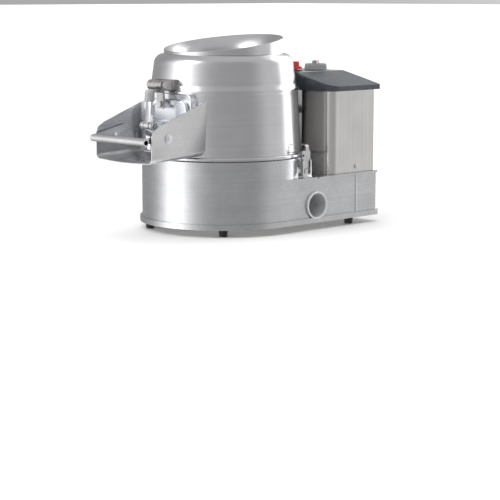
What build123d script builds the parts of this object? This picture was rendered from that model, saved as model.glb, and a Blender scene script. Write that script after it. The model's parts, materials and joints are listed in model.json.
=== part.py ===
from build123d import *
import math
import os

os.makedirs("parts", exist_ok=True)

# ---------------------------------------------------------------- driving dimensions, mm
# The model is laid out about the drum axis: X to the right, Y to the rear, Z up.
machine_width = 390.0      # across the foot flange of the base
front_reach = 319.0        # drum axis to the front of the flap's rolled edge
rear_reach = 342.0         # drum axis to the end of the water union
axis_y = (front_reach - rear_reach) / 2   # puts the middle of the length on Y = 0

foot_height = 17.0
foot_radius = 11.0
foot_screw_radius = 3.0
foot_spots = [(121.0, -114.0), (-90.0, -148.0), (168.0, 245.0), (-168.0, 245.0)]
base_radius = 189.5        # outside of the base wall
base_wall = 5.0
base_rear = 323.0          # rear wall of the base
base_corner = 8.0          # rear corners
mould_line_y = 246.0       # fine vertical line on each side wall
deck_z = 121.0             # top of the rear deck
tower_z = 167.0            # top of the round tower that carries the drum
flange_height = 12.0

drain_radius = 31.0        # outside of the waste tube
drain_wall = 3.5
drain_rim_radius = 32.0
drain_y = 112.0
drain_z = 57.0
well_floor_z = 88.0

drum_thickness = 4.0
drum_flange_radius = 184.5
drum_flange_top = 176.5
rim_mid_z = 424.0          # height of the sloping filler rim above the axis
rim_slope = 0.13           # the rim rises to the rear by this much per mm
collar_radius = 137.0
collar_foot_z = 401.0
seam_z = 327.0             # joint between wall and crown, under the step ring
lining_ridge_radius = 161.5

well_radius = 167.0
shaft_radius = 10.0
table_radius = 158.0
table_z = 172.0            # underside of the turntable
table_thickness = 10.0
bearing_radius = 21.0
bearing_width = 12.0
lower_bearing_z = 52.0
upper_bearing_z = 118.0
seal_z = 131.0

motor_y = 250.0
motor_radius = 54.0
motor_shaft_radius = 7.0
large_pulley_radius = 70.0
small_pulley_radius = 22.0
pulley_z = 26.0
pulley_width = 18.0

housing_half_width = 181.0
housing_front = 169.0
housing_rear = 321.0
housing_corner = 22.0      # front corners
housing_rear_corner = 6.0
housing_hollow = 190.0     # radius of the front that follows the drum
housing_sheet = 2.0
housing_top = 318.0
housing_screw_z = 135.0
side_screw_y = 254.0
rear_screw_x = 120.0
screw_radius = 2.1

lid_overhang = 6.0         # beyond the housing at the front and sides
lid_rear = 332.0
lid_rear_corner = 4.5
lid_skirt_z = 313.0
lid_edge_z = 325.0
lid_top_z = 353.0
lid_wall = 3.5
lid_flat_half = 70.0       # half width of the flat top that carries the controls
knob_x = 35.0
knob_y = 268.0
stop_y = 198.0
start_x = -35.0

door_half_width = 74.0
door_bottom = 196.0
door_top = 304.0
door_back = -173.0
door_front = -181.0
frame_half_width = 80.0
frame_bottom = 186.0
frame_top = 316.0
frame_front = -172.0
opening_half_width = 58.0
opening_bottom = 198.0
opening_top = 290.0

chute_half_width = 98.0    # outside, at the drum
chute_front_half_width = 96.0
chute_sheet = 2.0
chute_root_y = -172.0
chute_front = -299.0
chute_front_z = 171.6
chute_slope = 3.3          # degrees, falling to the front

hinge_y = -200.0
hinge_z = 336.0
lever_y = -226.0
lever_z = 246.0
flap_pivot_y = -251.5
flap_pivot_z = 225.0
flap_roll_radius = 8.0
flap_roll_z = 219.5
flap_roll_half = 92.0
hinge_pin_radius = 4.5
lever_pin_radius = 4.0
pivot_bolt_radius = 4.0
bolt_z = 293.0             # bolt that holds the door to its arm
arm_back = -187.0
arm_front = -193.0
panel_front = -176.0
keeper_z = 189.6
keeper_radius = 3.0
grip_y = lever_y + 3.5

latch_y = 80.0
latch_x = 184.0
latch_z = 158.0
latch_throw = 12.0         # lever pivot to hook pivot
latch_pin_radius = 2.5

water_pipe_radius = 7.0
water_x = 0.0
water_z = 262.0
gland_x = -110.0
gland_z = 150.0
gland_radius = 8.0

running_gap = 0.05         # radial gap of a pin or shaft in its bore
seat_gap = 0.02            # radial gap of a part that is held still


# ---------------------------------------------------------------- plain shapes
def block(x0, x1, y0, y1, z0, z1):
    size = Box(x1 - x0, y1 - y0, z1 - z0)
    return Pos((x0 + x1) / 2, (y0 + y1) / 2, (z0 + z1) / 2) * size


def post(radius, z0, z1, x=0.0, y=0.0):
    return Pos(x, y, (z0 + z1) / 2) * Cylinder(radius, z1 - z0)


def bar_x(radius, x0, x1, y, z):
    return Pos((x0 + x1) / 2, y, z) * Rot(0, 90, 0) * Cylinder(radius, x1 - x0)


def bar_y(radius, y0, y1, x, z):
    return Pos(x, (y0 + y1) / 2, z) * Rot(90, 0, 0) * Cylinder(radius, y1 - y0)


def frustum(r0, r1, z0, z1):
    return Pos(0, 0, (z0 + z1) / 2) * Cone(r0, r1, z1 - z0)


def ring(r_out, r_in, z0, z1, x=0.0, y=0.0):
    return post(r_out, z0, z1, x, y) - post(r_in, z0 - 1, z1 + 1, x, y)


def upright_prism(sketch, z0, z1):
    return extrude(Pos(0, 0, z0) * sketch, z1 - z0)


def front_prism(sketch, y0, y1):
    """Extrude a sketch drawn in X and Z from y0 back to y1."""
    return extrude(Plane.XZ.offset(-y0) * sketch, -(y1 - y0))


def side_prism(points, x0, x1):
    """Extrude a closed outline of (y, z) points from x0 to x1."""
    face = make_face(Plane.YZ.offset(x0) * Polyline(*points, close=True))
    return extrude(face, x1 - x0, dir=(1, 0, 0))


def panel_sketch(half_width, z0, z1, corner):
    return Pos(0, (z0 + z1) / 2) * RectangleRounded(2 * half_width, z1 - z0, corner)


def hexagon_x(across_flats, x0, x1, y, z):
    radius = across_flats / math.sqrt(3)
    sketch = Plane.YZ.offset(x0) * (Pos(y, z) * RegularPolygon(radius, 6))
    return extrude(sketch, x1 - x0)


def mirrored(shape):
    return mirror(shape, about=Plane.YZ)


def save(name, shape):
    """Write one node, moved so that the model is centred on its own origin."""
    placed = Pos(0, axis_y, 0) * shape
    export_step(placed, f"parts/{name}.step")


def save_group(name, shapes):
    placed = [(Pos(0, axis_y, 0) * shape).solid() for shape in shapes]
    export_step(Compound(placed), f"parts/{name}.step")


# ---------------------------------------------------------------- base
def base_outline(radius, rear, corner=base_corner):
    sides = Pos(0, rear / 2) * Rectangle(2 * radius, rear)
    rear_corners = sides.vertices().group_by(Axis.Y)[-1]
    return Circle(radius) + fillet(rear_corners, corner)


def make_base_casing():
    tower_inner = 176.0
    ledge_inner = 166.0
    ledge_z = 150.0
    flange_radius = machine_width / 2
    lip = 2.5
    outer = upright_prism(base_outline(base_radius, base_rear), foot_height, deck_z)
    outer += upright_prism(base_outline(flange_radius, base_rear + lip), foot_height, foot_height + flange_height)
    deck_lip = upright_prism(base_outline(base_radius + lip, base_rear + lip), deck_z - 4, deck_z)
    outer += deck_lip & block(-200, 200, 120, 330, deck_z - 5, deck_z + 1)
    outer += post(base_radius, deck_z - 1, tower_z)
    inside = upright_prism(
        base_outline(base_radius - base_wall, base_rear - base_wall, base_corner - base_wall),
        foot_height - 1, deck_z - base_wall,
    )
    casing = outer - inside
    casing -= post(tower_inner, deck_z - base_wall - 1, tower_z + 1)
    ledge = ring(tower_inner + 1, ledge_inner, ledge_z, ledge_z + 4)
    casing += ledge
    casing -= post(20, deck_z - 10, deck_z + 5, 0, motor_y)
    for side in (-1, 1):
        casing += post(2.2, foot_height + flange_height - 1, deck_z - 3, side * (base_radius - 0.4), mould_line_y)
    casing -= bar_x(drain_radius, 150, 200, drain_y, drain_z)
    casing -= bar_x(drain_rim_radius + 0.1, base_radius + 0.05, 200, drain_y, drain_z)
    for x, y in lug_places():
        casing += Pos(x, y, deck_z) * block(-9, 9, -9, 9, 0, 20)
    web_length = 20.0
    for x, y in foot_spots:
        turn = math.degrees(math.atan2(y, x)) if y < 0 else (0.0 if x > 0 else 180.0)
        web = block(0, web_length, -9, 9, foot_height + 3, foot_height + flange_height)
        casing += Pos(x, y, 0) * Rot(0, 0, turn) * web
        casing += post(foot_radius, foot_height, foot_height + flange_height, x, y)
        casing -= post(foot_screw_radius, foot_height - 1, foot_height + flange_height - 3, x, y)
    for side in (-1, 1):
        casing -= side_screw_bore(side, screw_radius)
        casing -= rear_screw_bore(side, screw_radius)
    return casing


def lug_places():
    """Blocks on the deck that the housing's screws go into."""
    inset = housing_sheet + 9.2
    sides = [(side * (housing_half_width - inset), side_screw_y) for side in (-1, 1)]
    return sides + [(side * rear_screw_x, housing_rear - inset) for side in (-1, 1)]


def side_screw_bore(side, radius):
    x0 = min(side * 150, side * 190)
    return bar_x(radius, x0, x0 + 40, side_screw_y, housing_screw_z)


def rear_screw_bore(side, radius):
    return bar_y(radius, 290, 330, side * rear_screw_x, housing_screw_z)


def make_feet():
    feet = []
    for x, y in foot_spots:
        foot = frustum(foot_radius - 1.5, foot_radius, 0, foot_height)
        foot = Pos(x, y, 0) * foot
        foot -= post(foot_screw_radius + 0.3, 4, foot_height + 1, x, y)
        foot -= post(6.0, -1, 6, x, y)
        feet.append(foot)
    return feet


def make_foot_screws():
    screws = []
    for x, y in foot_spots:
        head = post(5.5, 2.5, 5.7, x, y)
        screws.append(head + post(foot_screw_radius - seat_gap, 4, foot_height + 8, x, y))
    return screws


def make_bottom_cover():
    """Steel sheet that closes the underside, cut round the feet."""
    inset = base_wall + 0.5
    outline = base_outline(base_radius - inset, base_rear - inset, base_corner - inset)
    plate = upright_prism(outline, 18.0, 19.5)
    for x, y in foot_spots:
        plate -= post(foot_radius + 1, 10, 30, x, y)
    for x in (-60.0, -20.0, 20.0, 60.0):
        slot = Pos(x, motor_y, 18.75) * Box(8, 70, 4)
        plate -= slot
    return plate


def make_drain_outlet():
    """Waste tube from the splash well through the side wall, with a raised rim."""
    inner = drain_radius - drain_wall
    tube = bar_x(drain_radius - 0.2, 128, 194.0, drain_y, drain_z)
    rim = bar_x(drain_rim_radius, base_radius + 0.3, 194.5, drain_y, drain_z)
    rim -= bar_x(drain_radius - 1, 180, 200, drain_y, drain_z)
    tube += rim
    sump = block(84, 132, drain_y - 38, drain_y + 30, 24, well_floor_z - 0.5)
    tube += sump
    tube -= block(88, 129, drain_y - 34, drain_y + 26, 28, well_floor_z + 1)
    tube -= bar_x(inner, 120, 200, drain_y, drain_z)
    return tube


def make_well_pan():
    """Splash well under the turntable, hung in the tower by its rim."""
    top = 154.0
    pan = post(well_radius - 2, well_floor_z, top + 3) + ring(175.6, well_radius - 6, top, top + 3)
    pan -= post(well_radius - 5, well_floor_z + 3, top + 4)
    boss = ring(38, 31, well_floor_z, 112)
    pan += boss
    pan -= post(31, well_floor_z - 1, 113)
    pan -= block(88, 129, drain_y - 34, drain_y + 12, well_floor_z - 1, well_floor_z + 4)
    return pan


# ---------------------------------------------------------------- drive
def make_bearing_housing():
    body = post(30.6, 48, 138) + post(52, well_floor_z - 10, well_floor_z - 0.2)
    body -= post(shaft_radius + 4, 40, 150)
    body -= post(bearing_radius + seat_gap, 47, lower_bearing_z + bearing_width)
    body -= post(bearing_radius + seat_gap, upper_bearing_z, 140)
    return body


def make_bearings():
    rings = []
    for z in (lower_bearing_z, upper_bearing_z):
        bearing = ring(bearing_radius, shaft_radius + running_gap, z, z + bearing_width)
        groove = ring(17.5, 13.5, z + bearing_width - 1, z + bearing_width + 1)
        rings.append(bearing - groove)
    return rings


def make_shaft_seal():
    return ring(bearing_radius, shaft_radius + 0.08, seal_z, seal_z + 6)


def make_drive_shaft():
    shaft = post(shaft_radius, 22, table_z + table_thickness + 8)
    shaft += post(6, table_z + table_thickness + 8, table_z + table_thickness + 20)
    return shaft


def make_turntable():
    """Cast disc with ribs below and a skirt that shields the bearing housing."""
    disc = post(table_radius, table_z, table_z + table_thickness)
    hub = post(26, 142, table_z)
    skirt = ring(47, 43, 118, table_z)
    disc += hub + skirt
    for i in range(6):
        rib = block(24, table_radius - 12, -3, 3, table_z - 10, table_z)
        disc += Rot(0, 0, 60 * i) * rib
    for i in range(2):
        vane = block(table_radius - 30, table_radius - 2, -2.5, 2.5, table_z - 12, table_z)
        disc += Rot(0, 0, 180 * i + 30) * vane
    disc -= post(shaft_radius + seat_gap, 100, 200)
    return disc


def make_abrasive_disc():
    """Grit layer with raised waves that tumble the load."""
    z = table_z + table_thickness
    layer = ring(table_radius - 1, 17, z, z + 5)
    for i in range(3):
        wave = Pos(95, 0, z + 3) * Rot(0, 90, 0) * Cylinder(14, 118)
        wave &= ring(table_radius - 4, 22, z, z + 12)
        layer += Rot(0, 0, 120 * i + 15) * wave
    return layer


def make_turntable_nut():
    z = table_z + table_thickness + 8
    washer = ring(16.5, 10.5, z - 8, z)
    cap = post(15, z, z + 6) + Pos(0, 0, z + 6) * (Sphere(13) & block(-20, 20, -20, 20, 0, 20))
    return [washer, cap - post(6 + seat_gap, z - 1, z + 12)]


def make_large_pulley():
    z0 = pulley_z
    z1 = pulley_z + pulley_width
    pulley = post(large_pulley_radius, z0, z1)
    pulley += ring(large_pulley_radius + 3, large_pulley_radius - 4, z0 - 1.5, z0)
    pulley += ring(large_pulley_radius + 3, large_pulley_radius - 4, z1, z1 + 1.5)
    pulley -= ring(large_pulley_radius - 9, 20, z0 + 5, z1 + 2)
    for i in range(5):
        hole = post(11, z0 - 5, z1 + 5, 40, 0)
        pulley -= Rot(0, 0, 72 * i) * hole
    pulley -= post(shaft_radius + seat_gap, z0 - 5, z1 + 5)
    return pulley


def make_motor_pulley():
    z0 = pulley_z
    z1 = pulley_z + pulley_width
    pulley = post(small_pulley_radius, z0, z1, 0, motor_y)
    pulley += ring(small_pulley_radius + 3, small_pulley_radius - 4, z0 - 1.5, z0, 0, motor_y)
    pulley += ring(small_pulley_radius + 3, small_pulley_radius - 4, z1, z1 + 1.5, 0, motor_y)
    pulley -= post(motor_shaft_radius + seat_gap, z0 - 5, z1 + 5, 0, motor_y)
    return pulley


def belt_sketch(extra):
    big = Circle(large_pulley_radius + extra)
    small = Pos(0, motor_y) * Circle(small_pulley_radius + extra)
    return make_hull((big + small).edges())


def make_drive_belt():
    gap = 0.3
    thickness = 4.0
    z0 = pulley_z + 2
    z1 = pulley_z + pulley_width - 2
    return upright_prism(belt_sketch(gap + thickness) - belt_sketch(gap), z0, z1)


def make_motor():
    """Flange motor that stands on the deck inside the housing."""
    z0 = deck_z + 6
    top = 240.0
    body = post(motor_radius, z0 + 8, top - 14, 0, motor_y)
    body += post(motor_radius + 1.5, z0, z0 + 14, 0, motor_y)
    body += post(motor_radius - 3, top - 14, top, 0, motor_y)
    fins = 24
    for i in range(fins):
        fin = block(motor_radius - 2, motor_radius + 3.5, -1.2, 1.2, z0 + 18, top - 20)
        body += Pos(0, motor_y, 0) * Rot(0, 0, 360 / fins * i) * fin
    body += block(42, 78, motor_y - 24, motor_y + 24, z0 + 40, top - 30)
    body -= post(motor_shaft_radius + running_gap, z0 - 1, z0 + 50, 0, motor_y)
    return body


def make_motor_mount():
    plate = block(-76, 76, motor_y - 56, motor_y + 58, deck_z, deck_z + 6)
    plate -= post(20, deck_z - 1, deck_z + 7, 0, motor_y)
    return plate


def make_motor_shaft():
    return post(motor_shaft_radius, 22, deck_z + 46, 0, motor_y)


# ---------------------------------------------------------------- drum
def drum_solid(inset):
    """The drum's outer form pulled in by a wall thickness."""
    r = inset
    with BuildPart() as part:
        with BuildSketch(Plane.XZ):
            with BuildLine():
                Line((0, 150), (177.9 - r, 150))
                Line((177.9 - r, 150), (177.4 - r, 179))
                Line((177.4 - r, 179), (170.8 - r, 314))
                ThreePointArc((170.8 - r, 314), (171.6 - r, 319.5), (170.4 - r, 324))
                ThreePointArc((170.4 - r, 324), (168.2 - r, 329.2), (166.7 - r, 333))
                Line((166.7 - r, 333), (160.2 - r, 378 - r * 0.3))
                ThreePointArc((160.2 - r, 378 - r * 0.3), (155.4 - r * 0.9, 391.5 - r * 0.75), (143 - r * 0.5, 400 - r))
                Line((143 - r * 0.5, 400 - r), (120, 402.5 - r))
                Line((120, 402.5 - r), (0, 402.5 - r))
                Line((0, 402.5 - r), (0, 150))
            make_face()
        revolve(axis=Axis.Z)
    return part.part


def frame_opening(grow, y0, y1):
    sketch = panel_sketch(frame_half_width + grow, frame_bottom - grow, frame_top + grow, 14 + grow)
    return front_prism(sketch, y0, y1)


def make_drum_shell():
    """Hollow drum with the door's opening and the filler mouth cut out."""
    shell = drum_solid(0) - drum_solid(drum_thickness)
    shell -= block(-200, 200, -200, 200, 140, tower_z)
    shell -= frame_opening(0, -230, -90)
    shell -= post(collar_radius - 9, 380, 420)
    return shell - bar_y(water_pipe_radius + 3.2, 120, 220, water_x, water_z)


def make_drum_wall():
    """Conical wall with a foot flange and a spigot that centres it in the tower."""
    wall = make_drum_shell() & block(-200, 200, -200, 200, 140, seam_z)
    flange = ring(drum_flange_radius, 173.6, tower_z, drum_flange_top)
    outer_edges = flange.edges().filter_by(GeomType.CIRCLE).sort_by(SortBy.RADIUS)[-2:]
    flange = fillet(outer_edges, 3.5)
    wall += flange - drum_solid(drum_thickness)
    return wall + (ring(175.5, 172.0, tower_z - 5, tower_z + 2) - drum_solid(drum_thickness + 0.5))


def make_drum_crown():
    """Upper part of the drum, from the step ring over the rounded shoulder."""
    return make_drum_shell() & block(-200, 200, -200, 200, seam_z, 420)


def tilted_disc(radius, height, slope):
    """Flat face that a plane of the given slope cuts from an upright cylinder."""
    angle = math.atan(slope)
    plane = Plane(origin=(0, 0, height), x_dir=(1, 0, 0), z_dir=(0, -math.sin(angle), math.cos(angle)))
    return plane * Ellipse(radius, radius / math.cos(angle))


def make_filler_collar():
    """Splash collar with a sloping rim whose flared bore runs out to a thin edge."""
    throat = 112.0
    throat_z = 392.0
    edge = 2.0
    seat = collar_radius - 9.2
    with BuildPart() as part:
        with BuildSketch(Plane.XZ):
            with BuildLine():
                Polyline(
                    (0, throat_z), (seat, throat_z), (seat, collar_foot_z + 0.75),
                    (collar_radius, collar_foot_z - 0.25), (collar_radius, 460), (0, 460), (0, throat_z),
                )
            make_face()
        revolve(axis=Axis.Z)
    collar = part.part
    collar -= ring(seat - 3, throat + 5, throat_z - 1, collar_foot_z - 3)
    angle = math.degrees(math.atan(rim_slope))
    above = Pos(0, 0, rim_mid_z) * Rot(angle, 0, 0) * block(-300, 300, -300, 300, 0, 120)
    collar -= above
    flare = loft([
        tilted_disc(throat, throat_z - 1, 0),
        tilted_disc(throat + 5, throat_z + 14, rim_slope / 2),
        tilted_disc(collar_radius - edge, rim_mid_z + 0.01, rim_slope),
    ])
    collar -= flare
    rim_edges = [e for e in collar.edges() if e.center().Z > 415 and e.length > 500]
    return fillet(rim_edges, 0.8)


def make_abrasive_lining():
    """Grit-coated liner inside the drum, open at the door."""
    z0 = 194.0
    z1 = 300.0
    thickness = 4.0
    lining = drum_solid(drum_thickness + 0.3) - drum_solid(drum_thickness + 0.3 + thickness)
    lining &= block(-200, 200, -200, 200, z0, z1)
    for i in range(24):
        ridge = block(lining_ridge_radius, 172, -4, 4, z0 + 6, z1 - 6)
        ridge = ridge & drum_solid(drum_thickness + 1)
        lining += Rot(0, 0, 15 * i + 7.5) * ridge
    lining -= frame_opening(1.0, -230, -90)
    lining -= bar_y(water_pipe_radius + 3.2, 120, 220, water_x, water_z)
    return lining


def make_door_frame():
    """Cast frame let into the drum front, with a flat face for the door."""
    frame = frame_opening(0, frame_front, -120)
    mouth = panel_sketch(opening_half_width, opening_bottom, opening_top, 12)
    frame -= front_prism(mouth, -230, -90)
    frame -= drum_solid(drum_thickness)
    outer_edges = frame.faces().sort_by(Axis.Y)[0].outer_wire().edges()
    return fillet(outer_edges, 2.0)


def make_door_gasket():
    outer = panel_sketch(66, opening_bottom - 8, opening_top + 8, 17)
    inner = panel_sketch(60, opening_bottom - 2, opening_top + 2, 12)
    return front_prism(outer - inner, door_back, frame_front)


# ---------------------------------------------------------------- door, arm and lever
def make_door():
    """Cast door: a broad rim round a sunk panel, a boss for the arm and two lugs for the lever pin."""
    rim = front_prism(panel_sketch(door_half_width, door_bottom, door_top, 24), door_front, door_back)
    front_edges = rim.faces().sort_by(Axis.Y)[0].outer_wire().edges()
    rim = fillet(front_edges, 4.0)
    sunk = front_prism(panel_sketch(42, door_bottom + 13, door_top - 12, 12), door_front - 1, panel_front)
    rim -= sunk
    rim += bar_y(9, arm_back, panel_front, 0, bolt_z)
    rim -= bar_y(4 + seat_gap, arm_back - 1, door_back + 1, 0, bolt_z)
    rim += block(-17, 17, arm_back, panel_front + 0.5, 237, 255)
    for side in (-1, 1):
        x0 = min(side * 10.5, side * 17)
        x1 = max(side * 10.5, side * 17)
        lug = [(arm_back, 237), (lever_y, lever_z - 9), (lever_y, lever_z + 9), (arm_back, 255)]
        rim += side_prism(lug, x0, x1) + bar_x(9, x0, x1, lever_y, lever_z)
    return rim - bar_x(lever_pin_radius + seat_gap, -40, 40, lever_y, lever_z)


def make_door_arm():
    """Short arm from the hinge down to the top of the door."""
    foot_z = 283.0
    arm = bar_x(11, -12.5, 12.5, hinge_y, hinge_z)
    outline = [
        (arm_front, foot_z), (arm_front, 318), (hinge_y - 9, hinge_z - 6),
        (hinge_y + 9, hinge_z - 6), (arm_back, 310), (arm_back, foot_z),
    ]
    arm += side_prism(outline, -11, 11)
    arm -= bar_x(hinge_pin_radius + running_gap, -40, 40, hinge_y, hinge_z)
    arm -= bar_y(4 + seat_gap, -200, -180, 0, bolt_z)
    return arm


def make_door_bolt():
    head = bar_y(7, arm_front - 4, arm_front, 0, bolt_z)
    return head + bar_y(4, arm_front - 1, door_back, 0, bolt_z)


def make_hinge_lugs():
    """Bracket on the drum with two lugs for the door's hinge pin."""
    lugs = block(-26, 26, -178, -150, hinge_z - 11, hinge_z + 11)
    for side in (-1, 1):
        x0 = min(side * 13.2, side * 24)
        x1 = max(side * 13.2, side * 24)
        web = [(-160, hinge_z - 11), (hinge_y, hinge_z - 11), (hinge_y, hinge_z + 11), (-160, hinge_z + 11)]
        lugs += side_prism(web, x0, x1) + bar_x(11, x0, x1, hinge_y, hinge_z)
    lugs -= drum_solid(-0.05)
    lugs -= bar_x(hinge_pin_radius + seat_gap, -40, 40, hinge_y, hinge_z)
    return lugs


def make_hinge_pin():
    pin = bar_x(hinge_pin_radius, -25, 25, hinge_y, hinge_z)
    for x0, x1 in ((-28, -24.2), (24.2, 28)):
        pin += bar_x(8, x0, x1, hinge_y, hinge_z)
    return pin


def make_lever_handle():
    """Flat bar with an eye at the pin and a toe that reaches down to the keeper."""
    bar = [
        (lever_y - 4, lever_z), (lever_y, 300), (lever_y + 7, 300), (lever_y + 5, lever_z),
        (lever_y + 3, keeper_z + 10), (lever_y + 3, keeper_z + keeper_radius + 0.6),
        (lever_y - 3, keeper_z + keeper_radius + 0.6), (lever_y - 3, keeper_z + 12),
    ]
    lever = side_prism(bar, -8, 8)
    lever += bar_x(9.5, -8, 8, lever_y, lever_z)
    lever += post(4.5, 299, 318, 0, grip_y)
    lever -= bar_x(lever_pin_radius + running_gap, -40, 40, lever_y, lever_z)
    return lever


def make_lever_grip():
    grip = post(11, 300.2, 327, 0, grip_y)
    top = grip.faces().sort_by(Axis.Z)[-1]
    bottom = grip.faces().sort_by(Axis.Z)[0]
    grip = fillet(top.edges(), 8)
    grip = fillet(grip.faces().sort_by(Axis.Z)[0].edges(), 2.5)
    return grip - post(4.5 + seat_gap, 299, 318.5, 0, grip_y)


def make_lever_pin():
    return bar_x(lever_pin_radius, -21, 21, lever_y, lever_z)


def make_lever_nuts():
    nuts = []
    for x0, x1 in ((-23, -17.2), (17.2, 23)):
        nut = hexagon_x(15, x0, x1, lever_y, lever_z)
        nuts.append(nut - bar_x(lever_pin_radius + seat_gap, -21.1, 21.1, lever_y, lever_z))
    return nuts


def make_lever_keeper():
    """Catch below the door: a strip on the frame that ends in a round bar."""
    strip = block(-16, 16, lever_y, frame_front, keeper_z - keeper_radius, keeper_z + 0.2)
    strip += bar_x(keeper_radius, -16, 16, lever_y, keeper_z)
    return strip


# ---------------------------------------------------------------- chute and flap
def chute_half_at(y):
    """Outside half width of the chute, which narrows a little to the front."""
    share = (chute_root_y - y) / (chute_root_y - chute_front)
    return chute_half_width + share * (chute_front_half_width - chute_half_width)


def channel_sketch(half_width, bottom, corner, sag, top):
    inner = half_width - corner
    bend = corner * (1 - math.sqrt(0.5))
    with BuildSketch() as sketch:
        with BuildLine():
            Line((-half_width, top), (-half_width, bottom + corner))
            ThreePointArc((-half_width, bottom + corner), (-half_width + bend, bottom + bend), (-inner, bottom))
            ThreePointArc((-inner, bottom), (0, bottom - sag), (inner, bottom))
            ThreePointArc((inner, bottom), (half_width - bend, bottom + bend), (half_width, bottom + corner))
            Line((half_width, bottom + corner), (half_width, top))
            Line((half_width, top), (-half_width, top))
        make_face()
    return sketch.sketch


def channel_solid(inset):
    """Solid trough that falls to the front, drawn in by the sheet's thickness."""
    corner = 12.0 - inset
    sag = 3.0
    wall_top = 320.0
    sections = []
    for y in (chute_front - 10, -130.0):
        floor = chute_front_z + math.tan(math.radians(chute_slope)) * (y - chute_front) + inset
        section = channel_sketch(chute_half_at(y) - inset, floor, corner, sag, wall_top + inset)
        sections.append(Plane.XZ.offset(-y) * section)
    return loft(sections)


def make_chute():
    """Folded sheet chute with sloping side walls and inward flanges on the drum."""
    channel = channel_solid(0) - channel_solid(chute_sheet)
    side = [
        (chute_front, 150), (chute_front, 230), (chute_front + 6, 243), (chute_front + 23, 253),
        (-140, 302), (-140, 150),
    ]
    chute = channel & side_prism(side, -110, 110)
    root = chute_half_at(-146.0)
    for sign in (-1, 1):
        x0 = min(sign * (root - 0.5), sign * (root - 14))
        x1 = max(sign * (root - 0.5), sign * (root - 14))
        flange = (drum_solid(-chute_sheet - 0.2) - drum_solid(-0.2)) & block(x0, x1, -170, -100, 182, 298)
        chute += flange
    chute -= drum_solid(-0.2)
    chute -= post(drum_flange_radius + 0.3, 150, drum_flange_top + 0.4)
    chute -= frame_opening(0.0, -200, -100)
    for x0, x1 in ((-105, -75), (75, 105)):
        chute -= bar_x(pivot_bolt_radius + seat_gap, x0, x1, flap_pivot_y, flap_pivot_z)
    return chute


def make_chute_bolts():
    """Pivot bolts of the flap, each with a domed head on a washer."""
    washer_radius = 10.0
    inner = chute_half_at(flap_pivot_y + washer_radius) + 0.05
    outer = inner + 1.6
    bolts = []
    for side in (-1, 1):
        bolt = bar_x(pivot_bolt_radius, 84, outer, flap_pivot_y, flap_pivot_z)
        bolt += bar_x(washer_radius, inner, outer, flap_pivot_y, flap_pivot_z)
        head = bar_x(7.0, outer - 0.5, outer + 3.8, flap_pivot_y, flap_pivot_z)
        head = fillet(head.faces().sort_by(Axis.X)[-1].edges(), 3.0)
        bolt += head
        bolts.append(bolt if side > 0 else mirrored(bolt))
    return bolts


def make_flap():
    """Guard flap: a rolled front edge with a short plate, hung by two ears inside the chute walls."""
    ear_outer = 90.0
    sheet = 2.0
    roll_y = -front_reach + flap_roll_radius
    roll_top = flap_roll_z + flap_roll_radius
    plate_rear_y = -300.5
    flap = bar_x(flap_roll_radius, -flap_roll_half, flap_roll_half, roll_y, flap_roll_z)
    flap += block(-flap_roll_half, flap_roll_half, roll_y, plate_rear_y, roll_top - sheet, roll_top)
    for x0, x1 in ((-ear_outer, -ear_outer + sheet), (ear_outer - sheet, ear_outer)):
        ear = [
            (roll_y, roll_top), (-216, 247), (-216, 236), (flap_pivot_y, flap_pivot_z - 9),
            (-275, 213), (roll_y, flap_roll_z - 2),
        ]
        flap += side_prism(ear, x0, x1) + bar_x(9, x0, x1, flap_pivot_y, flap_pivot_z)
    hollow = flap_roll_radius - 2.6
    flap -= bar_x(hollow, -flap_roll_half - 1, flap_roll_half + 1, roll_y, flap_roll_z)
    flap -= bar_x(pivot_bolt_radius + running_gap, -100, 100, flap_pivot_y, flap_pivot_z)
    return flap


# ---------------------------------------------------------------- side latches
def make_latch_bracket():
    y0 = latch_y - 18
    y1 = latch_y + 18
    bracket = block(150, 178, y0, y1, deck_z + 0.5, 164)
    for a, b in ((y0, y0 + 3.5), (y1 - 3.5, y1)):
        bracket += block(176, latch_x + 3, a, b, latch_z - 7, latch_z + 6)
    bracket -= post(base_radius + 0.05, 100, 180)
    bracket -= bar_y(latch_pin_radius + seat_gap, y0 - 5, y1 + 5, latch_x, latch_z)
    return bracket


def make_latch_pin():
    return bar_y(latch_pin_radius, latch_y - 19.5, latch_y + 19.5, latch_x, latch_z)


def make_latch_lever():
    """Pressed lever: two side flanges that carry both pins, a finger lip and a slot for the hook."""
    y0 = latch_y - 14
    y1 = latch_y + 14
    flange = 3.0
    plate_x = latch_x + 6.5
    sheet = 1.8
    low = 123.0
    high = latch_z + 3
    lever = block(plate_x, plate_x + sheet, y0, y1, low, high)
    lever += block(plate_x, plate_x + sheet + 2.2, y0, y1, low, low + sheet)
    for a, b in ((y0, y0 + flange), (y1 - flange, y1)):
        lever += block(latch_x, plate_x + 0.5, a, b, low + 6, high)
        lever += bar_y(4.6, a, b, latch_x, latch_z)
        lever += bar_y(4.2, a, b, latch_x, latch_z - latch_throw)
    lever += bar_y(2.0, y0 + 2, y1 - 2, latch_x, latch_z - latch_throw)
    lever -= bar_y(latch_pin_radius + running_gap, y0 - 5, y1 + 5, latch_x, latch_z)
    lever -= block(plate_x - 1, plate_x + 5, latch_y - 10, latch_y + 10, latch_z - 26, high + 1)
    return lever


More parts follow.
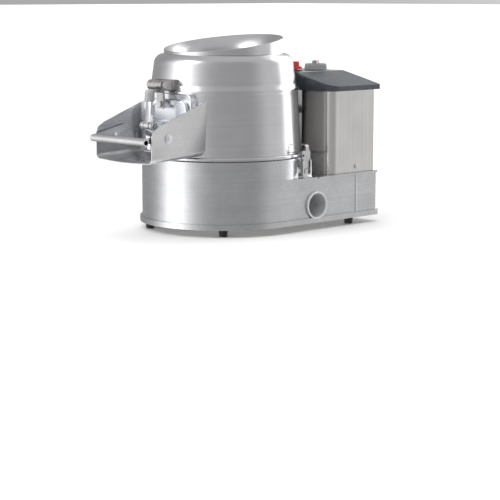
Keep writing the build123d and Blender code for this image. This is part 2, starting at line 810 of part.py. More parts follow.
def make_latch_hook():
    """Draw hook: an eye on the lever's cross pin, a wide plate and a curled claw."""
    neck_y0 = latch_y - 9
    neck_y1 = latch_y + 9
    eye_z = latch_z - latch_throw
    plate_x = latch_x + 3.1
    sheet = 1.8
    claw_top = 199.0
    claw_radius = 10.5
    hook = bar_y(4.0, neck_y0, neck_y1, latch_x, eye_z)
    hook += block(plate_x, plate_x + sheet, neck_y0, neck_y1, eye_z - 1, 166)
    hook += block(plate_x, plate_x + sheet, latch_y - 13, latch_y + 13, 164.5, 184)
    claw_x = plate_x + sheet - claw_radius
    claw_z = claw_top - claw_radius
    claw = bar_y(claw_radius, latch_y - 1, latch_y + 9, claw_x, claw_z)
    claw -= bar_y(claw_radius - 2.4, latch_y - 3, latch_y + 11, claw_x, claw_z)
    claw &= block(claw_x - 6, claw_x + 20, latch_y - 4, latch_y + 12, claw_z - 4.5, claw_top + 1)
    hook += claw
    toe_top = drum_flange_top + 3.6
    hook += block(162, plate_x + 1, latch_y - 9, latch_y + 9, drum_flange_top + 1.2, toe_top)
    hook -= bar_y(2.0 + running_gap, neck_y0 - 1, neck_y1 + 1, latch_x, eye_z)
    hook -= bar_x(3.0, plate_x - 1, plate_x + 5, latch_y - 9, 173)
    return hook - drum_solid(-1.5)


# ---------------------------------------------------------------- motor housing, lid and controls
def hollow_box(half_width, front, rear, front_corner, rear_corner, hollow):
    """Box outline with its own corner radii and a hollow front that follows the drum."""
    box = Pos(0, (front + rear) / 2) * Rectangle(2 * half_width, rear - front)
    rows = box.vertices().group_by(Axis.Y)
    box = fillet(rows[0], front_corner)
    box = fillet(box.vertices().group_by(Axis.Y)[-1], rear_corner)
    return box - Circle(hollow)


def housing_sketch(grow):
    return hollow_box(
        housing_half_width + grow, housing_front - grow, housing_rear + grow,
        housing_corner + grow, housing_rear_corner + grow, housing_hollow - grow,
    )


def lid_sketch(inset):
    grow = lid_overhang - inset
    return hollow_box(
        housing_half_width + grow, housing_front - grow, lid_rear - inset,
        housing_corner + grow, lid_rear_corner - inset, housing_hollow - grow,
    )


def make_motor_housing():
    outer = upright_prism(housing_sketch(0), deck_z + 0.2, housing_top)
    inner = upright_prism(housing_sketch(-housing_sheet), deck_z - 1, housing_top + 1)
    shell = outer - inner
    for side in (-1, 1):
        shell -= side_screw_bore(side, screw_radius + 0.1)
        shell -= rear_screw_bore(side, screw_radius + 0.1)
    shell -= bar_y(water_pipe_radius + seat_gap, 150, 350, water_x, water_z)
    shell -= bar_y(gland_radius + seat_gap, 300, 350, gland_x, gland_z)
    return shell


def make_screw(side_face):
    """Slotted screw that points along X, with its head on the given face."""
    head = bar_x(5, side_face, side_face + 2.6, 0, 0)
    head = fillet(head.faces().sort_by(Axis.X)[-1].edges(), 1.2)
    screw = head + bar_x(screw_radius - seat_gap, side_face - 14, side_face + 1, 0, 0)
    return screw - block(side_face + 1.4, side_face + 4, -6, 6, -0.6, 0.6)


def make_housing_screws():
    side = Pos(0, side_screw_y, housing_screw_z) * make_screw(housing_half_width)
    rear = Pos(rear_screw_x, 0, housing_screw_z) * Rot(0, 0, 90) * make_screw(housing_rear)
    return [side, mirrored(side), rear, mirrored(rear)]


def roof_profile(drop):
    """Section of the lid across the machine: a flat top falling to both sides."""
    half = housing_half_width + 12
    fall = (lid_top_z - lid_edge_z) / (housing_half_width + lid_overhang - lid_flat_half)
    low = lid_top_z - fall * (half - lid_flat_half)
    points = [
        (-half, 200), (half, 200), (half, low - drop), (lid_flat_half, lid_top_z - drop),
        (-lid_flat_half, lid_top_z - drop), (-half, low - drop),
    ]
    face = make_face(Plane.XZ.offset(-100) * Polyline(*points, close=True))
    return extrude(face, 300, dir=(0, 1, 0))


def make_housing_lid():
    """Moulded lid that sits on the top edge of the housing."""
    outer = upright_prism(lid_sketch(0), lid_skirt_z, 370) & roof_profile(0)
    roof_edges = [
        edge for edge in outer.edges()
        if edge.center().Z > lid_edge_z - 4 and abs(edge.tangent_at(0.5).Z) < 0.9
        and abs(edge.center().X) > lid_flat_half + 1
    ]
    outer = fillet(roof_edges, 3.0)
    seat = upright_prism(housing_sketch(0.3), lid_skirt_z - 1, housing_top)
    cavity = upright_prism(housing_sketch(-1.0), housing_top - 1, 370) & roof_profile(lid_wall)
    lid = outer - seat - cavity
    for x, y, radius in control_holes():
        lid -= post(radius, 330, 380, x, y)
    return lid


def control_holes():
    return [(knob_x, knob_y, 6.0), (knob_x, stop_y, 11.5), (start_x, stop_y, 11.5)]


def make_control_plate():
    z0 = lid_top_z
    plate = upright_prism(housing_sketch(0), z0, z0 + 1.2)
    plate &= block(-lid_flat_half + 1.5, lid_flat_half - 1.5, 150, 322, z0, z0 + 2)
    for x, y, radius in control_holes():
        plate -= post(radius, 340, 380, x, y)
    return plate


def make_timer_unit():
    """Clockwork timer below the lid with its spindle bush."""
    z = lid_top_z - lid_wall
    unit = block(knob_x - 26, knob_x + 26, knob_y - 26, knob_y + 26, z - 36, z - 0.2)
    unit += post(5.8, z - 1, lid_top_z + 1.0, knob_x, knob_y)
    return unit - post(3.0 + running_gap, z - 20, 380, knob_x, knob_y)


def make_timer_knob():
    """Round knob with a raised grip bar and its spindle."""
    z = lid_top_z + 1.6
    knob = post(27.5, z, z + 16, knob_x, knob_y)
    knob = fillet(knob.faces().sort_by(Axis.Z)[-1].edges(), 2.5)
    knob = fillet(knob.faces().sort_by(Axis.Z)[0].edges(), 1.0)
    grip = Pos(knob_x, knob_y, z + 19) * Rot(0, 0, 35) * Box(11, 46, 9)
    knob += grip
    knob += post(3.0, z - 20, z + 1, knob_x, knob_y)
    marker = Pos(knob_x, knob_y, z + 21.5) * Rot(0, 0, 35) * Pos(0, 15, 0) * Box(5, 14, 4.2)
    return knob - marker


def make_knob_marker():
    z = lid_top_z + 1.6
    return Pos(knob_x, knob_y, z + 21.6) * Rot(0, 0, 35) * Pos(0, 15, 0) * Box(4.96, 13.96, 4.0)


def make_button(x, low_radius, low_height, top_radius, top_height):
    z = lid_top_z + 5.9
    button = post(low_radius, z, z + low_height, x, stop_y)
    button = fillet(button.faces().sort_by(Axis.Z)[-1].edges(), 1.5)
    cap = post(top_radius, z + low_height - 1, z + low_height + top_height, x, stop_y)
    cap = fillet(cap.faces().sort_by(Axis.Z)[-1].edges(), 1.5)
    button += cap
    return button + post(5.0, z - 24, z + 1, x, stop_y)


def make_button_unit(x):
    """Switch body with a collar above the plate and a bore for the plunger."""
    z = lid_top_z - lid_wall
    unit = block(x - 18, x + 18, stop_y - 6.4, stop_y + 22, z - 31, z - 0.2)
    unit += post(11.3, z - 1, lid_top_z + 2, x, stop_y)
    unit += post(16.8, lid_top_z + 1.3, lid_top_z + 3.2, x, stop_y)
    return unit - post(5.0 + running_gap, z - 28, 380, x, stop_y)


# ---------------------------------------------------------------- water and power inlets
def make_water_pipe():
    """Spray pipe from the rear union through the housing into the drum."""
    pipe = bar_y(water_pipe_radius, 158, rear_reach, water_x, water_z)
    pipe += bar_y(11.5, housing_rear + 0.1, housing_rear + 9, water_x, water_z)
    return pipe - bar_y(4.5, 150, 350, water_x, water_z)


def make_pipe_grommet():
    outer = bar_y(water_pipe_radius + 3, 163.5, 178, water_x, water_z)
    return outer - bar_y(water_pipe_radius + seat_gap, 150, 190, water_x, water_z)


def make_cable_gland():
    gland = bar_y(gland_radius, housing_rear - 8, housing_rear + 3, gland_x, gland_z)
    gland += bar_y(12, housing_rear + 0.1, housing_rear + 4, gland_x, gland_z)
    gland += bar_y(10, housing_rear + 3, housing_rear + 13, gland_x, gland_z)
    return gland - bar_y(4.2, 290, 350, gland_x, gland_z)


# ---------------------------------------------------------------- write the nodes
save("base_casing", make_base_casing())
save("bottom_cover", make_bottom_cover())
save_group("rubber_feet", make_feet())
save_group("foot_screws", make_foot_screws())
save("drain_outlet", make_drain_outlet())
save("well_pan", make_well_pan())

save("bearing_housing", make_bearing_housing())
save_group("spindle_bearings", make_bearings())
save("shaft_seal", make_shaft_seal())
save("drive_shaft", make_drive_shaft())
save("turntable", make_turntable())
save("abrasive_disc", make_abrasive_disc())
save_group("turntable_nut", make_turntable_nut())
save("large_pulley", make_large_pulley())
save("motor_pulley", make_motor_pulley())
save("drive_belt", make_drive_belt())
save("motor", make_motor())
save("motor_mount", make_motor_mount())
save("motor_shaft", make_motor_shaft())

save("drum_wall", make_drum_wall())
save("drum_crown", make_drum_crown())
save("filler_collar", make_filler_collar())
save("abrasive_lining", make_abrasive_lining())
save("door_frame", make_door_frame())
save("door_gasket", make_door_gasket())
save("door", make_door())
save("door_arm", make_door_arm())
save("door_bolt", make_door_bolt())
save("hinge_lugs", make_hinge_lugs())
save("hinge_pin", make_hinge_pin())
save("lever_handle", make_lever_handle())
save("lever_grip", make_lever_grip())
save("lever_pin", make_lever_pin())
save_group("lever_nuts", make_lever_nuts())
save("lever_keeper", make_lever_keeper())
save("chute", make_chute())
save_group("chute_bolts", make_chute_bolts())
save("chute_flap", make_flap())

save_group("latch_brackets", [make_latch_bracket(), mirrored(make_latch_bracket())])
save_group("latch_pins", [make_latch_pin(), mirrored(make_latch_pin())])
save("right_latch_lever", make_latch_lever())
save("left_latch_lever", mirrored(make_latch_lever()))
save("right_latch_hook", make_latch_hook())
save("left_latch_hook", mirrored(make_latch_hook()))

save("motor_housing", make_motor_housing())
save_group("housing_screws", make_housing_screws())
save("housing_lid", make_housing_lid())
save("control_plate", make_control_plate())
save("timer_unit", make_timer_unit())
save("timer_knob", make_timer_knob())
save("knob_marker", make_knob_marker())
save("stop_button", make_button(knob_x, 16.5, 6.5, 10, 11.5))
save("start_button", make_button(start_x, 14, 4, 9, 2.5))
save_group("button_units", [make_button_unit(knob_x), make_button_unit(start_x)])
save("water_pipe", make_water_pipe())
save("pipe_grommet", make_pipe_grommet())
save("cable_gland", make_cable_gland())
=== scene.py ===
import json
import math

import bmesh
import bpy
from mathutils import Matrix, Vector


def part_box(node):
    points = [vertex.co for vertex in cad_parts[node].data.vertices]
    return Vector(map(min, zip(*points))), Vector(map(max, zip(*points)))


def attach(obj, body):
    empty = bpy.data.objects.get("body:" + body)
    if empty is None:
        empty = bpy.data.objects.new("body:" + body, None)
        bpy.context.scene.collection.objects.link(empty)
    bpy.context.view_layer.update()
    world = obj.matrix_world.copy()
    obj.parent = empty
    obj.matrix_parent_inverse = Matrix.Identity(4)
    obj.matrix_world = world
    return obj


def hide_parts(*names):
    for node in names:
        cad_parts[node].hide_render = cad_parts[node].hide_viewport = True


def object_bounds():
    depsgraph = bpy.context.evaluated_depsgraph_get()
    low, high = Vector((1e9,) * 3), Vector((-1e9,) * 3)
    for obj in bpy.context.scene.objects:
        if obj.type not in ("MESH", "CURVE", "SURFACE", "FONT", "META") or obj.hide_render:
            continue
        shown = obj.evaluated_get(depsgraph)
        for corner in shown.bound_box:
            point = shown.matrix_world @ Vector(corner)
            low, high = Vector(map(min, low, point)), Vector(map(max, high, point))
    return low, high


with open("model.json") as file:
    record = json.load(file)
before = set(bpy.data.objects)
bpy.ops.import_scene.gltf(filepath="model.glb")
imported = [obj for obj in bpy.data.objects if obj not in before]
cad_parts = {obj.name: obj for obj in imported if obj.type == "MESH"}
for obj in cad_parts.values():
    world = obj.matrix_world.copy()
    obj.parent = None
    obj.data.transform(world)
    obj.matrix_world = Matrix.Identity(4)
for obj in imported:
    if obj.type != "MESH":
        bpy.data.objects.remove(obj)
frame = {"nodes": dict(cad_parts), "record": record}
cad_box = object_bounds()
nodes = frame["nodes"]

# ---------------------------------------------------------------- places, metres
MM = 0.001
drum_low, drum_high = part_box("drum_wall")
axis = Vector(((drum_low.x + drum_high.x) / 2, (drum_low.y + drum_high.y) / 2, 0))

# The picture is taken from the front right corner: AHEAD and RIGHT are its level directions.
AZIMUTH = math.radians(46.32)
AHEAD = Vector((-math.sin(AZIMUTH), math.cos(AZIMUTH), 0))
RIGHT = Vector((math.cos(AZIMUTH), math.sin(AZIMUTH), 0))

KNOB_TURN = math.radians(35)     # of the timer knob's grip bar
BAR_ROUND = 2.2 * MM
THICK_EDGE = 1.4 * MM            # rounding of the thick parts' edges
SHEET_EDGE = 0.6 * MM            # rounding of the sheet parts' edges


# ---------------------------------------------------------------- material building blocks
def feed(tree, value, socket):
    """Link another node's output to a socket, or set the socket to a plain value."""
    if hasattr(value, "links"):
        tree.links.new(value, socket)
    else:
        socket.default_value = value


def math_node(tree, operation, a, b):
    made = tree.nodes.new("ShaderNodeMath")
    made.operation = operation
    feed(tree, a, made.inputs[0])
    feed(tree, b, made.inputs[1])
    return made.outputs["Value"]


class Graph:
    """A small helper around one node material."""

    def __init__(self, name):
        self.material = bpy.data.materials.new(name)
        self.material.use_nodes = True
        self.tree = self.material.node_tree
        self.shader = self.tree.nodes["Principled BSDF"]
        coords = self.tree.nodes.new("ShaderNodeTexCoord")
        self.place = coords.outputs["Object"]

    def node(self, kind, **values):
        """Add a node; each value is one of its properties or, failing that, one of its inputs."""
        made = self.tree.nodes.new(kind)
        for key, value in values.items():
            if hasattr(made, key):
                setattr(made, key, value)
            else:
                made.inputs[key.replace("_", " ")].default_value = value
        return made

    def link(self, a, b):
        self.tree.links.new(a, b)

    def stretched(self, scale):
        mapping = self.node("ShaderNodeMapping")
        mapping.inputs["Scale"].default_value = scale
        self.link(self.place, mapping.inputs["Vector"])
        return mapping.outputs["Vector"]

    def noise(self, scale, detail=4.0, rough=0.55, stretch=(1, 1, 1), distortion=0.0):
        made = self.node(
            "ShaderNodeTexNoise", Scale=scale, Detail=detail, Roughness=rough, Distortion=distortion
        )
        self.link(self.stretched(stretch), made.inputs["Vector"])
        return made.outputs["Fac"]

    def ramp(self, value, low_at, high_at, low_out=0.0, high_out=1.0):
        """Spread the stretch from low_at to high_at over low_out to high_out."""
        made = self.node("ShaderNodeMapRange")
        made.inputs["From Min"].default_value = low_at
        made.inputs["From Max"].default_value = high_at
        made.inputs["To Min"].default_value = low_out
        made.inputs["To Max"].default_value = high_out
        self.link(value, made.inputs["Value"])
        return made.outputs["Result"]

    def mix(self, factor, a, b):
        made = self.node("ShaderNodeMix", data_type="RGBA")
        self.link(factor, made.inputs["Factor"])
        for value, socket in ((a, made.inputs["A"]), (b, made.inputs["B"])):
            feed(self.tree, value if hasattr(value, "links") else (*value, 1), socket)
        return made.outputs["Result"]

    def math(self, operation, a, b):
        return math_node(self.tree, operation, a, b)

    def bump(self, height, strength, distance, base=None):
        made = self.node("ShaderNodeBump", Strength=strength, Distance=distance)
        self.link(height, made.inputs["Height"])
        if base is not None:
            self.link(base, made.inputs["Normal"])
        return made.outputs["Normal"]

    def finish(self, colour, roughness, normal=None, **fixed):
        """Plug in what varies; what is the same all over is set on the shader's own sockets."""
        self.link(colour, self.shader.inputs["Base Color"])
        feed(self.tree, roughness, self.shader.inputs["Roughness"])
        if normal is not None:
            self.link(normal, self.shader.inputs["Normal"])
        for key, value in fixed.items():
            self.shader.inputs[key.replace("_", " ")].default_value = value
        return self.material


def brushed_metal(name, light, dark, rough, grain, fine, mottle, spread=0.08, depth=0.00003):
    """Metal with a directional grain.

    grain stretches the grain's noise along X, Y and Z, fine is its scale and mottle the scale of the
    cloudy tone under it. spread is how far the roughness strays, and depth is the grain's in metres.
    """
    g = Graph(name)
    cloud = g.noise(mottle, 5, 0.6)
    lines = g.noise(fine, 2, 0.6, grain)
    streak = g.noise(fine / 9, 3, 0.6, grain)
    tone = g.math("ADD", g.math("MULTIPLY", cloud, 0.6), g.math("MULTIPLY", streak, 0.4))
    colour = g.mix(g.ramp(tone, 0.3, 0.7), dark, light)
    wear = g.math("ADD", g.math("MULTIPLY", lines, 0.5), g.math("MULTIPLY", cloud, 0.5))
    roughness = g.ramp(wear, 0.3, 0.7, rough - spread, rough + spread)
    normal = g.bump(g.math("ADD", lines, streak), 0.25, depth)
    return g.finish(colour, roughness, normal, Metallic=1.0)


def cast_metal(name, light, dark, rough, grain_size, depth, strength):
    """Sand or die casting: fine pits over a broader waviness."""
    g = Graph(name)
    cloud = g.noise(18, 5, 0.6)
    pits = g.noise(grain_size, 4, 0.7)
    waves = g.noise(90, 3, 0.5)
    colour = g.mix(g.ramp(g.math("MULTIPLY", pits, g.math("ADD", cloud, 0.5)), 0.3, 0.75), dark, light)
    roughness = g.ramp(pits, 0.3, 0.7, rough + 0.1, rough - 0.05)
    normal = g.bump(waves, 0.3, depth * 2)
    normal = g.bump(pits, strength, depth, normal)
    return g.finish(colour, roughness, normal, Metallic=1.0)


def cast_skin(name):
    """Pale matt skin of an unpolished casting, dulled by water."""
    g = Graph(name)
    cloud = g.noise(30, 5, 0.65)
    pits = g.noise(520, 4, 0.7)
    dull = (0.62, 0.625, 0.635)
    pale = (0.78, 0.785, 0.79)
    colour = g.mix(g.ramp(cloud, 0.35, 0.7), dull, pale)
    roughness = g.ramp(cloud, 0.3, 0.7, 0.42, 0.58)
    return g.finish(colour, roughness, g.bump(pits, 0.4, 0.0002), Metallic=0.45)


def plastic(name, light, dark, rough, grain_size=1400.0, depth=0.00008, coat=0.0):
    """Moulded plastic with a fine leathery grain and faint scuffs."""
    g = Graph(name)
    cloud = g.noise(9, 4, 0.6)
    grain = g.noise(grain_size, 2, 0.5)
    scuff = g.noise(60, 6, 0.75, (1, 0.25, 1), 0.6)
    colour = g.mix(g.ramp(g.math("ADD", cloud, g.math("MULTIPLY", scuff, 0.5)), 0.55, 0.95), dark, light)
    roughness = g.ramp(scuff, 0.35, 0.7, rough - 0.07, rough + 0.09)
    normal = g.bump(grain, 0.35, depth)
    return g.finish(colour, roughness, normal, Coat_Weight=coat)


def rubber(name, tone):
    """Dark rubber with pale dust on it; tone is the clean rubber's grey."""
    g = Graph(name)
    dust = g.noise(45, 6, 0.7)
    grain = g.noise(1600, 2, 0.5)
    dusty = (tone * 2.6, tone * 2.5, tone * 2.4)
    colour = g.mix(g.ramp(dust, 0.45, 0.8), (tone, tone, tone), dusty)
    roughness = g.ramp(dust, 0.3, 0.7, 0.62, 0.82)
    return g.finish(colour, roughness, g.bump(grain, 0.4, 0.0001))


def grit(name):
    """Coarse abrasive grains set in resin."""
    g = Graph(name)
    cells = g.node("ShaderNodeTexVoronoi", Scale=420.0)
    g.link(g.place, cells.inputs["Vector"])
    worn = g.noise(16, 5, 0.65)
    dark_grain = (0.09, 0.085, 0.08)
    light_grain = (0.34, 0.32, 0.3)
    worn_flat = (0.3, 0.285, 0.265)
    grains = g.mix(g.ramp(cells.outputs["Color"], 0.1, 0.9), dark_grain, light_grain)
    colour = g.mix(g.ramp(worn, 0.45, 0.75), grains, worn_flat)
    height = g.math("SUBTRACT", 1.0, cells.outputs["Distance"])
    roughness = g.ramp(worn, 0.3, 0.7, 0.55, 0.85)
    return g.finish(colour, roughness, g.bump(height, 0.9, 0.0012))


# Stretches that make a grain run one way: level and round the object, upright, or along an axis.
ROUND = (0.3, 0.3, 40.0)
UPRIGHT = (40.0, 40.0, 0.3)
ALONG_Y = (40.0, 0.3, 40.0)
ALONG_X = (0.3, 40.0, 40.0)

# One material for each slot of the record.
MATERIALS = {
    "cast_aluminium": brushed_metal(
        "casing_aluminium", (0.62, 0.625, 0.635), (0.52, 0.525, 0.54), 0.27, ROUND, 26, 24, 0.04, 0.00004
    ),
    "spun_aluminium": brushed_metal(
        "drum_aluminium", (0.68, 0.68, 0.695), (0.6, 0.6, 0.615), 0.23, ROUND, 34, 13, 0.04, 0.00002
    ),
    "polished_cast": brushed_metal(
        "door_polish", (0.86, 0.88, 0.92), (0.78, 0.8, 0.85), 0.27, ALONG_X, 12, 20, 0.03, 0.000005
    ),
    "rough_cast": cast_metal("hinge_casting", (0.72, 0.715, 0.7), (0.34, 0.33, 0.32), 0.26, 300, 0.0004, 0.5),
    "zinc_steel": brushed_metal(
        "zinc_plate", (0.62, 0.62, 0.6), (0.45, 0.45, 0.44), 0.4, ALONG_Y, 30, 22, 0.1
    ),
    "stainless": brushed_metal(
        "stainless_parts", (0.7, 0.7, 0.7), (0.52, 0.52, 0.52), 0.22, UPRIGHT, 50, 30, 0.06
    ),
    "bright_steel": brushed_metal(
        "lever_chrome", (0.9, 0.9, 0.92), (0.8, 0.8, 0.83), 0.08, UPRIGHT, 60, 25, 0.03
    ),
    "bearing_steel": brushed_metal(
        "ground_steel", (0.62, 0.63, 0.65), (0.5, 0.51, 0.53), 0.2, ROUND, 60, 20, 0.05
    ),
    "brushed_housing": brushed_metal(
        "housing_stainless", (0.78, 0.765, 0.745), (0.63, 0.615, 0.6), 0.22, UPRIGHT, 45, 7, 0.05, 0.00003
    ),
    "chute_sheet": brushed_metal(
        "chute_sheet", (0.78, 0.78, 0.79), (0.66, 0.66, 0.67), 0.3, ALONG_Y, 35, 16, 0.06
    ),
    "plate_alu": brushed_metal(
        "control_plate", (0.74, 0.74, 0.75), (0.62, 0.62, 0.63), 0.34, ALONG_X, 40, 16, 0.06
    ),
    "grey_iron": cast_metal("pulley_iron", (0.3, 0.3, 0.31), (0.12, 0.12, 0.13), 0.42, 500, 0.0003, 0.5),
    "motor_paint": plastic("motor_enamel", (0.13, 0.16, 0.2), (0.08, 0.1, 0.13), 0.36, 900, 0.0001),
    "abrasive_grit": grit("abrasive_grit"),
    "black_rubber": rubber("foot_rubber", 0.012),
    "dark_plastic": plastic("lid_plastic", (0.055, 0.064, 0.078), (0.032, 0.038, 0.047), 0.3, 1500, 0.00006),
    "black_plastic": plastic("switch_black", (0.03, 0.03, 0.032), (0.015, 0.015, 0.016), 0.45),
    "knob_grey": plastic("knob_plastic", (0.3, 0.32, 0.33), (0.22, 0.24, 0.25), 0.3),
    "grip_grey": plastic("grip_satin", (0.4, 0.4, 0.405), (0.27, 0.27, 0.275), 0.26, 500, 0.0001),
    "stop_red": plastic("stop_red", (0.74, 0.03, 0.03), (0.56, 0.02, 0.02), 0.3, 1200, 0.00003, 0.3),
    "start_green": plastic("start_green", (0.03, 0.36, 0.09), (0.02, 0.26, 0.06), 0.3, 1200, 0.00003, 0.3),
}


def paint(obj, material):
    obj.data.materials.clear()
    obj.data.materials.append(material)


SLOTS = {part["node"]: part["material_slot"] for part in frame["record"]["subparts"]}
BODIES = {node: body for body, members in frame["record"]["behaviour"]["bodies"].items() for node in members}

for node, slot in SLOTS.items():
    paint(nodes[node], MATERIALS[slot])
paint(nodes["drain_outlet"], cast_skin("drain_casting"))  # left as cast, unlike the casing


# ---------------------------------------------------------------- detailed pieces over the CAD
def add_piece(name, build, material, node, replaced=True):
    """Turn a bmesh into an object that rides on the body of a node and may stand in for it."""
    bmesh.ops.recalc_face_normals(build, faces=build.faces)
    mesh = bpy.data.meshes.new(name)
    build.to_mesh(mesh)
    build.free()
    mesh.shade_smooth()
    mesh.set_sharp_from_angle(angle=math.radians(30))
    piece = bpy.data.objects.new(name, mesh)
    bpy.context.scene.collection.objects.link(piece)
    paint(piece, material)
    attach(piece, BODIES[node])
    if replaced:
        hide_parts(node)


def softened(node, width):
    """Stand-in for a CAD node whose sharp edges are rounded, as on a cast, tumbled or pressed part."""
    merge_distance = 0.00001
    flat_angle = math.radians(0.5)
    sharp_angle = math.radians(35)
    build = bmesh.new()
    build.from_mesh(nodes[node].data)
    bmesh.ops.remove_doubles(build, verts=build.verts, dist=merge_distance)
    bmesh.ops.dissolve_limit(build, angle_limit=flat_angle, verts=build.verts, edges=build.edges)
    sharp = [
        edge for edge in build.edges
        if len(edge.link_faces) == 2 and edge.calc_face_angle(0) > sharp_angle and edge.calc_length() > width
    ]
    bmesh.ops.bevel(
        build, geom=sharp, offset=width, segments=2, profile=0.5, affect="EDGES",
        clamp_overlap=True, loop_slide=True,
    )
    bmesh.ops.triangulate(build, faces=[face for face in build.faces if len(face.verts) > 4])
    add_piece(node + "_soft", build, MATERIALS[SLOTS[node]], node)


def turned(build, centre, rings, steps, ripple, teeth):
    """Closed body turned about the upright axis through centre.

    Each ring is (radius, z, share of the ripple). ripple is the depth of the flutes between teeth.
    """
    loops = []
    for radius, z, share in rings:
        loop = []
        for i in range(steps):
            angle = 2 * math.pi * i / steps
            wave = ripple * share * (0.5 - 0.5 * math.cos(teeth * angle))
            reach = radius - wave
            x = centre[0] + reach * math.cos(angle)
            y = centre[1] + reach * math.sin(angle)
            loop.append(build.verts.new((x, y, z)))
        loops.append(loop)
    for low_loop, high_loop in zip(loops, loops[1:]):
        for i in range(steps):
            j = (i + 1) % steps
            build.faces.new((low_loop[i], low_loop[j], high_loop[j], high_loop[i]))
    build.faces.new(list(reversed(loops[0])))
    build.faces.new(loops[-1])


def joined_faces(start):
    """Faces joined to a vertex, directly or through other faces."""
    faces = set()
    waiting = list(start.link_faces)
    while waiting:
        face = waiting.pop()
        if face in faces:
            continue
        faces.add(face)
        waiting.extend(other for vert in face.verts for other in vert.link_faces if other not in faces)
    return faces


def rounded_block(build, centre, size, turn, round_by):
    """Box with bevelled edges, turned about the upright axis."""
    made = bmesh.ops.create_cube(build, size=1.0)["verts"]
    bmesh.ops.scale(build, vec=size, verts=made)
    edges = list({edge for vert in made for edge in vert.link_edges})
    grown = bmesh.ops.bevel(
        build, geom=edges, offset=round_by, segments=4, profile=0.5, affect="EDGES"
    )["verts"]
    # The bevel replaces the box's corners, so its vertices are found again from one of the new ones.
    made = list({vert for face in joined_faces(grown[0]) for vert in face.verts})
    bmesh.ops.rotate(build, cent=(0, 0, 0), matrix=Matrix.Rotation(turn, 3, "Z"), verts=made)
    bmesh.ops.translate(build, vec=centre, verts=made)


def make_knob():
    """Fluted timer knob with a grip bar, and the red cap at the bar's end."""
    low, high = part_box("timer_knob")
    centre = ((low.x + high.x) / 2, (low.y + high.y) / 2)
    radius = (high.x - low.x) / 2
    spindle_radius = 3 * MM
    knob_height = 23.5 * MM
    base = high.z - knob_height
    build = bmesh.new()
    # From the foot of the spindle, over the plain collar and the fluted skirt, to the top.
    rings = [
        (spindle_radius, low.z, 0),
        (spindle_radius, base, 0),
        (radius - 1.5 * MM, base, 0),
        (radius, base + 1.5 * MM, 0),
        (radius, base + 4 * MM, 0),
        (radius - 0.6 * MM, base + 4.6 * MM, 1),
        (radius - 1.4 * MM, base + 13 * MM, 1),
        (radius - 3 * MM, base + 15.4 * MM, 0.4),
        (radius - 5 * MM, base + 16 * MM, 0),
    ]
    turned(build, centre, rings, steps=240, ripple=1.0 * MM, teeth=40)
    bar = (11 * MM, 46 * MM, 9.5 * MM)
    rounded_block(build, (*centre, high.z - bar[2] / 2), bar, KNOB_TURN, BAR_ROUND)
    add_piece("timer_knob_fluted", build, MATERIALS["knob_grey"], "timer_knob")

    marker_low, marker_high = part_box("knob_marker")
    marker_x = (marker_low.x + marker_high.x) / 2
    marker_y = (marker_low.y + marker_high.y) / 2
    build = bmesh.new()
    cap = (11.6 * MM, 15.6 * MM, bar[2] + 0.1 * MM)
    rounded_block(build, (marker_x, marker_y, high.z - bar[2] / 2), cap, KNOB_TURN, BAR_ROUND)
    add_piece("knob_marker_cap", build, MATERIALS["stop_red"], "knob_marker")


def make_dial_ticks():
    """Raised ticks on the control plate round the timer knob."""
    knob_low, knob_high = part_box("timer_knob")
    plate_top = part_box("control_plate")[1].z
    middle = Vector(((knob_low.x + knob_high.x) / 2, (knob_low.y + knob_high.y) / 2, plate_top))
    inner_radius = 30.5 * MM
    width = 0.8 * MM
    relief = 0.3 * MM
    tick_count = 21
    first_tick = -150          # degrees, clockwise from the rear
    tick_gap = 15
    build = bmesh.new()
    for i in range(tick_count):
        turn = math.radians(first_tick + tick_gap * i)
        length = 5 * MM if i % 5 == 0 else 3 * MM
        out = Vector((math.sin(turn), math.cos(turn), 0))
        place = middle + out * (inner_radius + length / 2)
        rounded_block(build, place, (width, length, relief), -turn, 0.1 * MM)
    add_piece("dial_ticks", build, MATERIALS["black_plastic"], "control_plate", replaced=False)


make_knob()
make_dial_ticks()
for node in ("door_arm", "hinge_lugs", "lever_handle"):
    softened(node, THICK_EDGE)
for node in ("chute", "right_latch_lever", "left_latch_lever"):
    softened(node, SHEET_EDGE)


# ---------------------------------------------------------------- floor, light and camera
def make_floor():
    """Wide pale floor, left out of reflections so that the studio's bands run down the metal."""
    half_side = 60
    g = Graph("floor_pale")
    cloud = g.noise(3, 4, 0.6)
    colour = g.mix(g.ramp(cloud, 0.3, 0.7), (0.84, 0.84, 0.84), (0.87, 0.87, 0.87))
    material = g.finish(colour, 0.55)
    mesh = bpy.data.meshes.new("floor")
    build = bmesh.new()
    bmesh.ops.create_grid(build, x_segments=8, y_segments=8, size=half_side)
    build.to_mesh(mesh)
    build.free()
    floor = bpy.data.objects.new("floor", mesh)
    bpy.context.scene.collection.objects.link(floor)
    floor.location = (axis.x, axis.y, cad_box[0][2])
    floor.visible_glossy = False
    paint(floor, material)


def area_light(name, place, target, side, power):
    data = bpy.data.lights.new(name, "AREA")
    data.shape = "SQUARE"
    data.size = side
    data.energy = power
    light = bpy.data.objects.new(name, data)
    bpy.context.scene.collection.objects.link(light)
    light.location = place
    light.rotation_euler = (target - place).to_track_quat("-Z", "Y").to_euler()


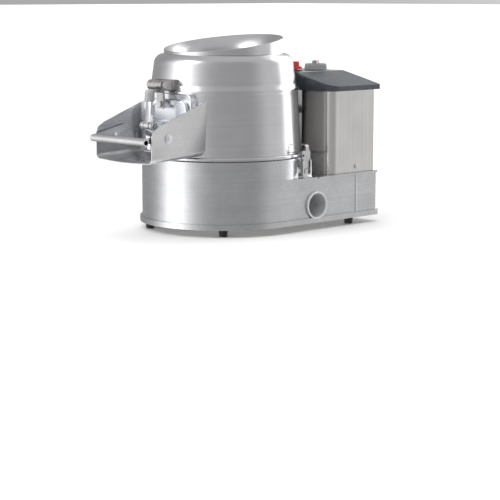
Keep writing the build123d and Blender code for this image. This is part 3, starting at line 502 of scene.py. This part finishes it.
# Brightness of the studio round the horizon: (degrees, level). 0 is the camera's side and positive
# turns to its right. The bright stretches are softboxes: one to the left, one behind to the right.
STUDIO = [
    (-180, 0.42), (-160, 0.40), (-124, 0.42), (-108, 0.62), (-94, 1.1), (-82, 2.0), (-70, 2.5), (-60, 2.1),
    (-49, 1.2), (-38, 0.78), (-25, 0.55), (-10, 0.46), (45, 0.42), (58, 0.54), (70, 0.72), (94, 0.72),
    (102, 0.66), (111, 2.4), (150, 2.6), (163, 0.8), (180, 0.42),
]
STUDIO_PEAK = 2.6
OVERHEAD = 0.62
CEILING_STARTS = 0.5       # height of a direction, from 0 at the horizon to 1 straight up
CEILING_FULL = 0.85


def make_world():
    """Softboxes on both sides, a grey wall in front and behind, and a soft ceiling."""
    world = bpy.data.worlds.new("studio")
    bpy.context.scene.world = world
    world.use_nodes = True
    tree = world.node_tree
    coords = tree.nodes.new("ShaderNodeTexCoord")

    def dot(direction):
        made = tree.nodes.new("ShaderNodeVectorMath")
        made.operation = "DOT_PRODUCT"
        made.inputs[1].default_value = direction
        tree.links.new(coords.outputs["Generated"], made.inputs[0])
        return made.outputs["Value"]

    around = math_node(tree, "ARCTAN2", dot(RIGHT), dot(-AHEAD))
    share = math_node(tree, "ADD", math_node(tree, "DIVIDE", around, 2 * math.pi), 0.5)
    ramp = tree.nodes.new("ShaderNodeValToRGB")
    stops = ramp.color_ramp.elements
    for degrees, level in STUDIO:
        place = (degrees + 180) / 360
        stop = stops[0] if place == 0 else stops[-1] if place == 1 else stops.new(place)
        grey = level / STUDIO_PEAK
        stop.color = (grey, grey, grey, 1)
    tree.links.new(share, ramp.inputs["Fac"])
    walls = math_node(tree, "MULTIPLY", ramp.outputs["Color"], STUDIO_PEAK)
    lift = tree.nodes.new("ShaderNodeMapRange")
    lift.interpolation_type = "SMOOTHSTEP"
    lift.inputs["From Min"].default_value = CEILING_STARTS
    lift.inputs["From Max"].default_value = CEILING_FULL
    tree.links.new(dot((0, 0, 1)), lift.inputs["Value"])
    blend = tree.nodes.new("ShaderNodeMix")
    tree.links.new(lift.outputs["Result"], blend.inputs["Factor"])
    tree.links.new(walls, blend.inputs["A"])
    blend.inputs["B"].default_value = OVERHEAD
    background = tree.nodes["Background"]
    background.inputs["Color"].default_value = (1, 1, 1, 1)
    tree.links.new(blend.outputs["Result"], background.inputs["Strength"])


def make_camera():
    """Camera at the photographed angle, a little above the filler rim and tipped down."""
    distance = 3.698
    aside = 0.0607
    height = 0.536
    pitch = math.radians(9.11)
    data = bpy.data.cameras.new("camera")
    data.sensor_width = 36.0
    data.lens = 115.3
    data.clip_end = 100.0
    camera = bpy.data.objects.new("camera", data)
    bpy.context.scene.collection.objects.link(camera)
    camera.location = axis - AHEAD * distance + RIGHT * aside + Vector((0, 0, height))
    look = AHEAD * math.cos(pitch) - Vector((0, 0, math.sin(pitch)))
    camera.rotation_euler = look.to_track_quat("-Z", "Y").to_euler()
    bpy.context.scene.camera = camera


def make_lights():
    """One soft lamp high on the left, and a broad sky."""
    middle = axis + Vector((0, 0, 0.25))
    left = middle - AHEAD * 1.2 - RIGHT * 2.0 + Vector((0, 0, 1.6))
    area_light("left_soft", left, middle, side=1.2, power=9)
    # The sky whitens the floor and the plastics, and doesn't show in the metal.
    data = bpy.data.lights.new("sky_soft", "SUN")
    data.energy = 2.6
    data.angle = math.radians(100)
    sky = bpy.data.objects.new("sky_soft", data)
    bpy.context.scene.collection.objects.link(sky)
    sky.rotation_euler = (math.radians(12), math.radians(-14), 0)
    sky.visible_glossy = False


make_floor()
make_world()
make_lights()
make_camera()
bpy.context.scene.view_settings.view_transform = "Standard"
